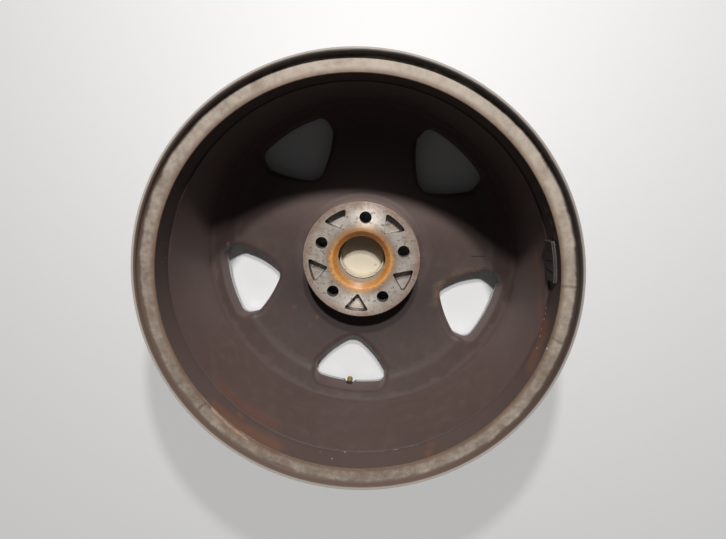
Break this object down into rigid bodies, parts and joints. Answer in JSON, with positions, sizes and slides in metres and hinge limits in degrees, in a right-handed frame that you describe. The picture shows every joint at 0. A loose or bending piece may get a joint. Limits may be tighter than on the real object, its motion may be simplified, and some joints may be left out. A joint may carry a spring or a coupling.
{
  "type": "wheel rim",
  "caption": "Cast aluminium car wheel seen from its brake side, with drop-centre rim, spoked disc, hub pad, centre cap, snap-in valve and stick-on balance weight.",
  "frame": {"origin": "on the wheel's axis, in the plane of the outboard flange on which the wheel lies", "axes": "+Z along the wheel's axis towards the brake side, +Y through one wheel bolt hole, away from the valve"},
  "size_m": [0.4715, 0.4716, 0.2159],
  "materials": {
    "cast_alloy": "satin",
    "cap_plastic": "matte",
    "valve_rubber": "matte",
    "valve_brass": "satin",
    "weight_metal": "matte",
    "tape_foam": "matte"
  },
  "bodies": {
    "root": {"wheel_casting": "cast_alloy", "centre_cap": "cap_plastic", "valve_body": "valve_rubber", "valve_stem": "valve_brass", "valve_core": "valve_brass", "balance_weight": "weight_metal", "weight_tape": "tape_foam"}
  },
  "joints": []
}
